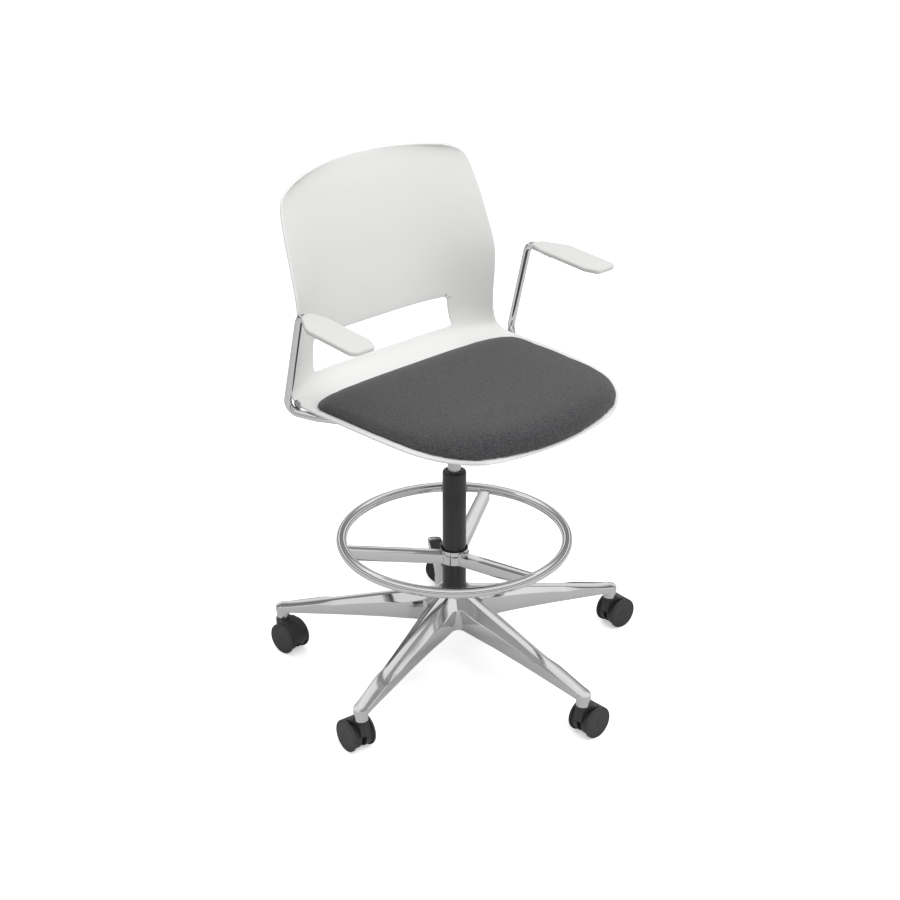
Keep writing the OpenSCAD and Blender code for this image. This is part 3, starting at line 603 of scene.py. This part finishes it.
RING_R, RING_Z, RING_TUBE_R, HUB_BORE_R = 238.5, 311, 11, 28.6
SPOKES = (30, 150, 270)
SPOKE_STATIONS = [80, 92, 110, 130, 150, 170, 190, 205, 218, 230]
RING_HUB_R, RING_FILLET, SPOKE_ROOT, SPOKE_WALL = 29.0, 38, 14, 9
BEAD_R, BEAD_TUBE_R, BEAD_IN, BEAD_DROP, BEAD_LEAN, BEAD_SQUASH = 9.6, 1.6, 9.2, 9.4, -95, 0.9


def spoke_half(x):
    return SPOKE_ROOT - 2.5 * min(1, max(0, (x - 70) / 160))


def spoke_top(x, y):
    rise = 278 + 7 * min(1, max(0, (x - 34) / 24)) if x < 58 else 285 + 30 * (x - 58) / 180
    return rise - 0.010 * min(y, 12) ** 2 * eased_step(x, 40, 90)


def spoke_across(j, b, x):
    return b.y * [0, 0.3, 0.55, 0.74, 0.88, 0.96, 1][j]


def spoke_under(r):
    return 257.1 + 5 * min(1, max(0, (r - 30) / 30)) + 28 * min(1, max(0, (r - 60) / 178))


def make_ring():
    put_down()
    bpy.ops.mesh.primitive_torus_add(major_radius=RING_R * MM, minor_radius=RING_TUBE_R * MM,
                                     major_segments=160, minor_segments=28, location=(0, 0, RING_Z * MM))
    hoop = settled(named("ring_bright"))
    hub = cast_star("ring_casting", len(SPOKES), RING_HUB_R, RING_FILLET, SPOKE_ROOT, spoke_half, spoke_top,
                    spoke_under, SPOKE_STATIONS, spoke_across, SPOKE_WALL)
    eased(hub, 1.2 * MM, 28, 3)
    for v in hub.data.vertices:     # the wall stops at the hub's bore
        k = max(1, HUB_BORE_R * MM / math.hypot(v.co.x, v.co.y))
        v.co = (v.co.x * k, v.co.y * k, v.co.z)
    collar = turned("collar", [(27.35, 276.2), (28, 277), (30.2, 277), (31.3, 276.2), (31.3, 257.8),
                               (30.2, 257), (28, 257), (27.35, 257.8), (27.35, 276.2)], 96, False)
    hub.data.transform(about_z(SPOKES[0]))
    hub = joined([hub, collar], "ring_casting")
    beads = []
    for a in SPOKES:
        put_down()
        bpy.ops.mesh.primitive_torus_add(major_radius=BEAD_R * MM, minor_radius=BEAD_TUBE_R * MM,
                                         major_segments=40, minor_segments=10)
        bead = named("bead")
        spot = Matrix.Translation(Vector((RING_R - BEAD_IN, 0, RING_Z - BEAD_DROP)) * MM)
        lean = Matrix.Rotation(math.radians(BEAD_LEAN), 4, "Y")
        settled(bead, about_z(a) @ spot @ lean @ Matrix.Diagonal((BEAD_SQUASH, 1, 1, 1)))
        beads.append(bead)
    hub = joined([hub, *beads], "ring_casting")
    return shaded(hoop, 60), shaded(hub, 32)


# ---- casters: X is the trail, the stem is on Z ----

TRAIL, WHEEL_R, WHEEL_IN, WHEEL_W = 20, 34.5, 5.5, 21
RIM_W, TREAD_R, NECK_R, NECK_TOP = 5.5, 31.2, 13.5, 74.5
COVER_R, COVER_HALF, COVER_END, WEB_HALF = 34.3, 20.4, -12, 4.7


def on_axle(side):
    """From a turned piece's Z to the wheel's axle, towards one side."""
    return Matrix.Translation(Vector((TRAIL, 0, WHEEL_R)) * MM) @ Matrix.Rotation(-side * math.pi / 2, 4, "X")


def make_wheel(name, side):
    """A wheel: a tread under the cover, a full rim outside it, and a flat disc with a fine groove."""
    a, b = WHEEL_IN, WHEEL_IN + WHEEL_W
    c = b - RIM_W
    piece = turned(name, [(4.1, a), (29.8, a), (TREAD_R, a + 1.2), (TREAD_R, c - 0.2), (TREAD_R + 0.3, c),
                          (WHEEL_R - 0.6, c), (WHEEL_R, c + 0.6), (WHEEL_R, b - 2), (WHEEL_R - 0.5, b - 0.8),
                          (WHEEL_R - 1.8, b), (31.6, b), (31.2, b - 0.5), (30.8, b - 0.1), (16, b - 0.25),
                          (6.2, b - 0.3), (5.8, b - 0.7), (5.2, b - 0.3), (2, b - 0.2)], 80)
    settled(piece, on_axle(side))
    return shaded(piece, 38)


def wheel_room(piece):
    """Cut the space of both treads out of a piece."""
    for side in (1, -1):
        room = turned("room", [(TREAD_R + 0.9, 4.9), (TREAD_R + 0.9, 45)], 96)
        settled(room, on_axle(side))
        cut_from(piece, room)
    return clean(piece, 0.0001)


def make_hood(name):
    """Neck, the web between the wheels, and the cover: a wedge off the neck that rounds over both treads."""
    side_view = [(-13.2, 40), (-13.2, 70), (-11, NECK_TOP), (NECK_R, NECK_TOP)]
    reach = math.hypot(TRAIL - NECK_R, NECK_TOP - WHEEL_R)
    lean = math.degrees(math.atan2(NECK_TOP - WHEEL_R, NECK_R - TRAIL) - math.acos(COVER_R / reach))
    count = 14
    for k in range(count + 1):
        w = math.radians(lean + (COVER_END - lean) * k / count)
        side_view.append((TRAIL + COVER_R * math.cos(w), WHEEL_R + COVER_R * math.sin(w)))
    side_view += [(TRAIL + 22, WHEEL_R - 8), (TRAIL, WHEEL_R - 12), (TRAIL - 20, WHEEL_R)]
    cover = prism(name, side_view, -COVER_HALF, COVER_HALF)
    settled(cover, Matrix.Rotation(math.pi / 2, 4, "X"))
    plan = prism("plan", round_corners([(-30, -5, 2), (-10, -11, 6), (6, -14, 12), (16, -COVER_HALF, 8),
                                        (70, -COVER_HALF, 2), (70, COVER_HALF, 2), (16, COVER_HALF, 8),
                                        (6, 14, 12), (-10, 11, 6), (-30, 5, 2)]), 0, 90)
    cut_from(cover, plan, "INTERSECT")
    wheel_room(cover)
    eased(cover, 0.9 * MM, 40, 2)
    neck = turned("neck", [(13.6, 44), (13.4, 58), (12.8, 66), (12.6, 73), (11.6, NECK_TOP),
                           (7, NECK_TOP)], 48)
    wheel_room(neck)
    core = turned("core", [(2, -WEB_HALF), (20, -WEB_HALF), (21, -3.8), (21, 3.8), (20, WEB_HALF),
                           (2, WEB_HALF)], 48)
    settled(core, on_axle(1))
    piece = joined([cover, neck, core], name)
    return shaded(piece, 30)


# ---- finishes ----

def group_of(name, inputs, outputs, build):
    tree = bpy.data.node_groups.new(name, "ShaderNodeTree")
    for label, kind, value in inputs:
        socket = tree.interface.new_socket(name=label, in_out="INPUT", socket_type=kind)
        socket.default_value = value
    for label, kind in outputs:
        tree.interface.new_socket(name=label, in_out="OUTPUT", socket_type=kind)
    start, end = tree.nodes.new("NodeGroupInput"), tree.nodes.new("NodeGroupOutput")
    build(tree, start.outputs, end.inputs)
    return tree


def node(tree, kind, settings=None, **links):
    made = tree.nodes.new(kind)
    for key, value in (settings or {}).items():
        setattr(made, key, value)
    for key, value in links.items():
        label = key.replace("_", " ")
        socket = made.inputs[int(key[1:])] if key[0] == "n" and key[1:].isdigit() else made.inputs[label]
        if isinstance(value, bpy.types.NodeSocket):
            tree.links.new(value, socket)
        else:
            socket.default_value = value
    return made


def maths(tree, operation, a, b=0.0, clamp=False):
    return node(tree, "ShaderNodeMath", {"operation": operation, "use_clamp": clamp}, n0=a, n1=b).outputs[0]


def blended(tree, share, a, b):
    mix = node(tree, "ShaderNodeMix", {"data_type": "RGBA"})
    for index, value in ((0, share), (6, a), (7, b)):
        if isinstance(value, bpy.types.NodeSocket):
            tree.links.new(value, mix.inputs[index])
        else:
            mix.inputs[index].default_value = value
    return mix.outputs[2]


def build_soft_change(tree, given, out):
    """Slow and quick variation of a colour and a roughness over a surface."""
    place = node(tree, "ShaderNodeTexCoord").outputs["Object"]
    slow = node(tree, "ShaderNodeTexNoise", Vector=place, Scale=given["Scale"], Detail=3.0).outputs[0]
    quick = node(tree, "ShaderNodeTexNoise", Vector=place,
                 Scale=maths(tree, "MULTIPLY", given["Scale"], 14.0), Detail=2.0).outputs[0]
    both = maths(tree, "ADD", maths(tree, "MULTIPLY", slow, 0.7), maths(tree, "MULTIPLY", quick, 0.3))
    share = maths(tree, "MULTIPLY", both, given["Amount"], True)
    tree.links.new(blended(tree, share, given["Color"], given["Other Color"]), out["Color"])
    swing = maths(tree, "MULTIPLY", maths(tree, "SUBTRACT", both, 0.5), given["Roughness Change"])
    tree.links.new(maths(tree, "ADD", given["Roughness"], swing, True), out["Roughness"])


def build_edge_wear(tree, given, out):
    """A mask of raised edges, broken up by noise."""
    place = node(tree, "ShaderNodeTexCoord").outputs["Object"]
    sharp = node(tree, "ShaderNodeNewGeometry").outputs["Pointiness"]
    rise = node(tree, "ShaderNodeMapRange", Value=sharp, From_Min=0.5, From_Max=0.62, To_Min=0.0,
                To_Max=1.0).outputs[0]
    broken = node(tree, "ShaderNodeTexNoise", Vector=place, Scale=given["Scale"], Detail=4.0).outputs[0]
    mask = maths(tree, "MULTIPLY", maths(tree, "MULTIPLY", rise, broken), given["Amount"], True)
    tree.links.new(mask, out["Mask"])


def build_grain(tree, given, out):
    """Fine moulding or casting grain as a height."""
    place = node(tree, "ShaderNodeTexCoord").outputs["Object"]
    fine = node(tree, "ShaderNodeTexNoise", Vector=place, Scale=given["Scale"], Detail=2.0,
                Roughness=0.6).outputs[0]
    broad = node(tree, "ShaderNodeTexVoronoi", Vector=place,
                 Scale=maths(tree, "MULTIPLY", given["Scale"], 0.6)).outputs[0]
    both = maths(tree, "ADD", fine, maths(tree, "MULTIPLY", broad, given["Cells"]))
    tree.links.new(both, out["Height"])


def build_weave(tree, given, out):
    """A plain weave by height and mask: two thread directions under a coarse fleck of light and dark yarn."""
    place = node(tree, "ShaderNodeTexCoord").outputs["Object"]
    wander = node(tree, "ShaderNodeTexNoise", Vector=place, Scale=70.0, Detail=2.0).outputs[1]
    shifted = node(tree, "ShaderNodeVectorMath", {"operation": "MULTIPLY_ADD"}, n0=wander,
                   n1=(0.001, 0.001, 0.001), n2=place).outputs[0]
    parts = node(tree, "ShaderNodeSeparateXYZ", Vector=shifted).outputs
    turn = maths(tree, "MULTIPLY", given["Threads"], math.pi)
    x = maths(tree, "SINE", maths(tree, "MULTIPLY", parts[0], turn))
    y = maths(tree, "SINE", maths(tree, "MULTIPLY", parts[1], turn))
    pick = maths(tree, "GREATER_THAN", maths(tree, "MULTIPLY", x, y), 0.0)
    warp = maths(tree, "MULTIPLY", maths(tree, "ABSOLUTE", x), pick)
    weft = maths(tree, "MULTIPLY", maths(tree, "ABSOLUTE", y), maths(tree, "SUBTRACT", 1.0, pick))
    threads = maths(tree, "ADD", warp, weft)
    fleck = node(tree, "ShaderNodeTexNoise", Vector=place, Scale=given["Fleck Scale"], Detail=4.0,
                 Roughness=0.7).outputs[0]
    mottle = node(tree, "ShaderNodeMapRange", Value=fleck, From_Min=0.36, From_Max=0.64, To_Min=0.0,
                  To_Max=1.0).outputs[0]
    mask = maths(tree, "ADD", maths(tree, "MULTIPLY", mottle, 0.8), maths(tree, "MULTIPLY", threads, 0.2))
    tree.links.new(mask, out["Mask"])
    height = maths(tree, "ADD", maths(tree, "MULTIPLY", threads, 0.4), maths(tree, "MULTIPLY", mottle, 0.6))
    tree.links.new(height, out["Height"])


SOFT_CHANGE = group_of("soft change", [("Color", "NodeSocketColor", (0.5, 0.5, 0.5, 1)),
                                       ("Other Color", "NodeSocketColor", (0.4, 0.4, 0.4, 1)),
                                       ("Scale", "NodeSocketFloat", 6.0), ("Amount", "NodeSocketFloat", 0.5),
                                       ("Roughness", "NodeSocketFloat", 0.4),
                                       ("Roughness Change", "NodeSocketFloat", 0.1)],
                       [("Color", "NodeSocketColor"), ("Roughness", "NodeSocketFloat")], build_soft_change)
EDGE_WEAR = group_of("edge wear", [("Scale", "NodeSocketFloat", 90.0), ("Amount", "NodeSocketFloat", 1.0)],
                     [("Mask", "NodeSocketFloat")], build_edge_wear)
GRAIN = group_of("surface grain", [("Scale", "NodeSocketFloat", 900.0), ("Cells", "NodeSocketFloat", 0.3)],
                 [("Height", "NodeSocketFloat")], build_grain)
WEAVE = group_of("plain weave", [("Threads", "NodeSocketFloat", 700.0),
                                 ("Fleck Scale", "NodeSocketFloat", 330.0)],
                 [("Height", "NodeSocketFloat"), ("Mask", "NodeSocketFloat")], build_weave)


def finish_of(name, color, other, rough, rough_change=0.1, scale=6.0, amount=0.6, metallic=0.0, grain=0.0,
              grain_scale=900.0, cells=0.3, wear=0.0, wear_color=None, shader=None):
    """A finish with varied colour and roughness, a fine grain and worn edges."""
    made = bpy.data.materials.new(name)
    made.use_nodes = True
    tree = made.node_tree
    surface = tree.nodes["Principled BSDF"]
    surface.inputs["Metallic"].default_value = metallic
    for key, value in (shader or {}).items():
        surface.inputs[key].default_value = value
    change = node(tree, "ShaderNodeGroup", {"node_tree": SOFT_CHANGE}, Color=(*color, 1),
                  Other_Color=(*other, 1), Scale=scale, Amount=amount, Roughness=rough,
                  Roughness_Change=rough_change)
    tone = change.outputs["Color"]
    if wear:
        worn = node(tree, "ShaderNodeGroup", {"node_tree": EDGE_WEAR}, Amount=wear)
        tone = blended(tree, worn.outputs["Mask"], tone, (*(wear_color or other), 1))
    tree.links.new(tone, surface.inputs["Base Color"])
    tree.links.new(change.outputs["Roughness"], surface.inputs["Roughness"])
    if grain:
        lay = node(tree, "ShaderNodeGroup", {"node_tree": GRAIN}, Scale=grain_scale, Cells=cells)
        bump = node(tree, "ShaderNodeBump", Strength=grain, Distance=0.0004, Height=lay.outputs["Height"])
        tree.links.new(bump.outputs["Normal"], surface.inputs["Normal"])
    return made


def fabric():
    made = bpy.data.materials.new("pad cloth")
    made.use_nodes = True
    tree = made.node_tree
    surface = tree.nodes["Principled BSDF"]
    surface.inputs["Sheen Weight"].default_value = 0.18
    surface.inputs["Sheen Roughness"].default_value = 0.5
    surface.inputs["Specular IOR Level"].default_value = 0.25
    surface.inputs["Roughness"].default_value = 0.92
    cloth = node(tree, "ShaderNodeGroup", {"node_tree": WEAVE})
    tone = blended(tree, cloth.outputs["Mask"], (0.019, 0.019, 0.0205, 1), (0.084, 0.084, 0.088, 1))
    tree.links.new(tone, surface.inputs["Base Color"])
    bump = node(tree, "ShaderNodeBump", Strength=0.35, Distance=0.0005, Height=cloth.outputs["Height"])
    tree.links.new(bump.outputs["Normal"], surface.inputs["Normal"])
    return made


WHITE = finish_of("moulded white", (0.77, 0.77, 0.76), (0.735, 0.735, 0.725), 0.42, 0.08, 4, 0.7,
                  grain=0.12, grain_scale=1400, shader={"Coat Weight": 0.08, "Coat Roughness": 0.25})
REST_WHITE = finish_of("arm rest white", (0.62, 0.615, 0.605), (0.585, 0.58, 0.57), 0.55, 0.08, 8, 0.7,
                       grain=0.25, grain_scale=1100)
CHROME = finish_of("bright chrome", (0.74, 0.745, 0.75), (0.68, 0.685, 0.69), 0.06, 0.04, 10, 0.6,
                   metallic=1.0, grain=0.02, grain_scale=60)
POLISHED = finish_of("polished casting", (0.68, 0.68, 0.68), (0.62, 0.62, 0.625), 0.08, 0.05, 9, 0.8,
                     metallic=1.0, grain=0.02, grain_scale=400, wear=0.3, wear_color=(0.75, 0.75, 0.75))
LIFT_STEEL = finish_of("lift steel", (0.62, 0.62, 0.62), (0.52, 0.52, 0.53), 0.28, 0.12, 14, 0.7,
                       metallic=1.0, grain=0.05, grain_scale=300)
ZINC = finish_of("zinc screws", (0.55, 0.55, 0.56), (0.42, 0.42, 0.43), 0.35, 0.15, 40, 0.8,
                 metallic=1.0, grain=0.08, wear=0.6, wear_color=(0.75, 0.75, 0.75))
BLACK_PAINT = finish_of("column paint", (0.014, 0.014, 0.015), (0.022, 0.022, 0.023), 0.32, 0.1, 12, 0.6,
                        grain=0.1, grain_scale=700, wear=0.5, wear_color=(0.12, 0.12, 0.12))
POWDER = finish_of("powder coat", (0.03, 0.03, 0.031), (0.045, 0.045, 0.047), 0.55, 0.12, 14, 0.7,
                   grain=0.5, grain_scale=800, cells=0.8, wear=0.5, wear_color=(0.14, 0.14, 0.14))
BLACK_MOULDING = finish_of("black moulding", (0.012, 0.012, 0.0125), (0.02, 0.02, 0.0205), 0.42, 0.1, 18, 0.7,
                           grain=0.35, grain_scale=900, cells=0.6, wear=0.5, wear_color=(0.1, 0.1, 0.1))
WHEEL_BLACK = finish_of("wheel nylon", (0.016, 0.016, 0.0165), (0.024, 0.024, 0.0245), 0.38, 0.12, 20, 0.7,
                        grain=0.2, grain_scale=900, wear=0.6, wear_color=(0.13, 0.13, 0.13))
PLY = finish_of("board ply", (0.50, 0.35, 0.2), (0.36, 0.24, 0.13), 0.6, 0.1, 30, 0.8,
                grain=0.3, grain_scale=300)
CLOTH = fabric()


def wears(piece, material):
    piece.data.materials.clear()
    piece.data.materials.append(material)
    return piece


def place_on(piece, material, body, slot, *nodes):
    wears(piece, material)
    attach(piece, body)
    if nodes:
        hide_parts(*nodes)
    return piece


# ---- the chair, piece by piece ----

place_on(make_shell(), WHITE, "seat", "shell", "seat_shell")
pad = make_pad()
place_on(pad, CLOTH, "seat", "cushion_fabric", "seat_cushion")

tube = make_arm_tube()
rest = make_arm_rest()
screw = make_arm_screw()
flip = Matrix.Diagonal((-1, 1, 1, 1))
for piece, material, slot_name, right_nodes, left_nodes in (
        (tube, CHROME, "arm_chrome", ["arm_tube_right"], ["arm_tube_left"]),
        (rest, REST_WHITE, "pad_plastic", ["arm_pad_right"], ["arm_pad_left"]),
        (screw, ZINC, "screw_steel", ["arm_screws"], [])):
    base_name = piece.name
    twin = copy_of(piece, base_name + "_left", flip)
    piece.name = piece.data.name = base_name + "_right"
    place_on(piece, material, "seat", slot_name, *right_nodes)
    place_on(twin, material, "seat", slot_name, *left_nodes)

place_on(make_base(), POLISHED, "base", "polished_aluminium", "star_base")
hoop, casting = make_ring()
place_on(hoop, CHROME, "foot_ring", "ring_chrome", "ring_tube")
place_on(casting, POLISHED, "foot_ring", "polished_aluminium", "ring_hub")

column = turned("column_skin", [(24.2, 113), (25, 114), (25, 463.5), (24.6, 465.5), (23.6, 467), (22, 467.8),
                                (19.5, 468), (14.6, 468), (14.2, 467.4), (14.2, 460)], 96, False)
place_on(shaded(column, 40), BLACK_PAINT, "base", "column_paint")

hood = make_hood("hood")
wheels = {side: make_wheel("wheel", sign) for side, sign in (("left", 1), ("right", -1))}
for k, (leg, trail) in enumerate(zip(LEGS, TRAILS, strict=True), 1):
    spot = Matrix.Translation(polar(STEM_R * MM, leg)) @ about_z(trail)
    one = copy_of(hood, f"caster_{k}_cover", spot)
    place_on(one, BLACK_MOULDING, f"caster_{k}", "caster_plastic", f"caster_{k}_hood")
    for side, wheel in wheels.items():
        one = copy_of(wheel, f"caster_{k}_roller_{side}", spot)
        place_on(one, WHEEL_BLACK, f"wheel_{k}_{side}", "wheel_plastic", f"caster_{k}_wheel_{side}")
for spare in [hood, *wheels.values()]:
    bpy.data.objects.remove(spare)

# ---- finishes on what the frame brings ----

FRAME_FINISH = {"cushion_board": PLY, "tube_saddles": POWDER, "seat_plate": POWDER,
                "mechanism_housing": POWDER, "release_lever": POWDER, "plate_spacers": BLACK_MOULDING,
                "lever_paddle": BLACK_MOULDING,
                "gas_cylinder": LIFT_STEEL, "piston_rod": LIFT_STEEL, "column_tube": BLACK_PAINT,
                "guide_bush": BLACK_MOULDING, "ring_liner": BLACK_MOULDING}
for name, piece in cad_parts.items():
    if not piece.hide_render:
        wears(piece, FRAME_FINISH.get(name, ZINC))


# ---- floor, light and camera ----

# The camera sees the floor brighter than the chair's reflections and bounced light do.
put_down()
bpy.ops.mesh.primitive_plane_add(size=80, location=(0, 0, 0))
floor = named("studio_floor")
wears(floor, finish_of("floor paint", (0.90, 0.90, 0.90), (0.88, 0.88, 0.88), 0.9, 0.02, 0.5, 0.5,
                       shader={"Emission Color": (1, 1, 1, 1), "Emission Strength": 0.42}))
paint = floor.data.materials[0].node_tree
dim = node(paint, "ShaderNodeBsdfDiffuse", Color=(0.56, 0.56, 0.56, 1))
seen = node(paint, "ShaderNodeMixShader", n0=node(paint, "ShaderNodeLightPath").outputs["Is Camera Ray"],
            n1=dim.outputs[0], n2=paint.nodes["Principled BSDF"].outputs[0])
paint.links.new(seen.outputs[0], paint.nodes["Material Output"].inputs["Surface"])

# The reflections see a sky of light and dark bands, from the horizon up, and the camera sees plain white.
world = bpy.data.worlds.new("studio")
bpy.context.scene.world = world
world.use_nodes = True
studio = world.node_tree
air = studio.nodes["Background"]
sky = node(studio, "ShaderNodeTexCoord").outputs["Generated"]
up = node(studio, "ShaderNodeSeparateXYZ", Vector=sky).outputs[2]
ramp = node(studio, "ShaderNodeValToRGB", Fac=up)
SKY_BANDS = [(0.0, 0.03), (0.11, 0.05), (0.16, 1.05), (0.31, 0.95), (0.39, 0.20), (0.58, 0.40), (0.72, 1.15),
             (0.95, 0.85)]
while len(ramp.color_ramp.elements) < len(SKY_BANDS):
    ramp.color_ramp.elements.new(0.5)
for band, (height, level) in zip(ramp.color_ramp.elements, SKY_BANDS, strict=True):
    band.position = height
    band.color = (level, level, level, 1)
studio.links.new(ramp.outputs["Color"], air.inputs["Color"])
air.inputs["Strength"].default_value = 0.98
plain = node(studio, "ShaderNodeBackground", Color=(1, 1, 1, 1), Strength=1.0)
backdrop = node(studio, "ShaderNodeMixShader",
                n0=node(studio, "ShaderNodeLightPath").outputs["Is Camera Ray"],
                n1=air.outputs[0], n2=plain.outputs[0])
studio.links.new(backdrop.outputs[0], studio.nodes["World Output"].inputs["Surface"])


def lamp(name, spot, size, power, aim=(0, 0, 0.5)):
    """A soft box that lights the surfaces and stays out of the reflections."""
    light = bpy.data.lights.new(name, "AREA")
    light.shape = "RECTANGLE"
    light.size, light.size_y = size
    light.energy = power
    holder = bpy.data.objects.new(name, light)
    holder.location = spot
    holder.rotation_euler = (Vector(aim) - Vector(spot)).to_track_quat("-Z", "Y").to_euler()
    holder.visible_glossy = False
    bpy.context.scene.collection.objects.link(holder)


lamp("key_light", (-1.0, -2.2, 4.0), (2.8, 2.8), 88)
lamp("fill_light", (2.6, -2.6, 2.0), (2.4, 2.6), 38)
lamp("back_light", (0.6, 3.0, 3.2), (2.8, 1.8), 36)

CAMERA_REACH, CAMERA_Z = 3.487292, 2.165819
HEADING, PITCH, SWING = math.radians(-42.952), math.radians(25.341), math.radians(0.151)
lens = bpy.data.cameras.new("camera")
lens.lens = 74.61
lens.sensor_width = 36
lens.clip_end = 200
camera = bpy.data.objects.new("camera", lens)
bpy.context.scene.collection.objects.link(camera)
camera.location = (CAMERA_REACH * math.sin(HEADING), -CAMERA_REACH * math.cos(HEADING), CAMERA_Z)
camera.rotation_euler = (math.pi / 2 - PITCH, 0, HEADING + SWING)
bpy.context.scene.camera = camera
bpy.context.scene.view_settings.view_transform = "Standard"

put_down()
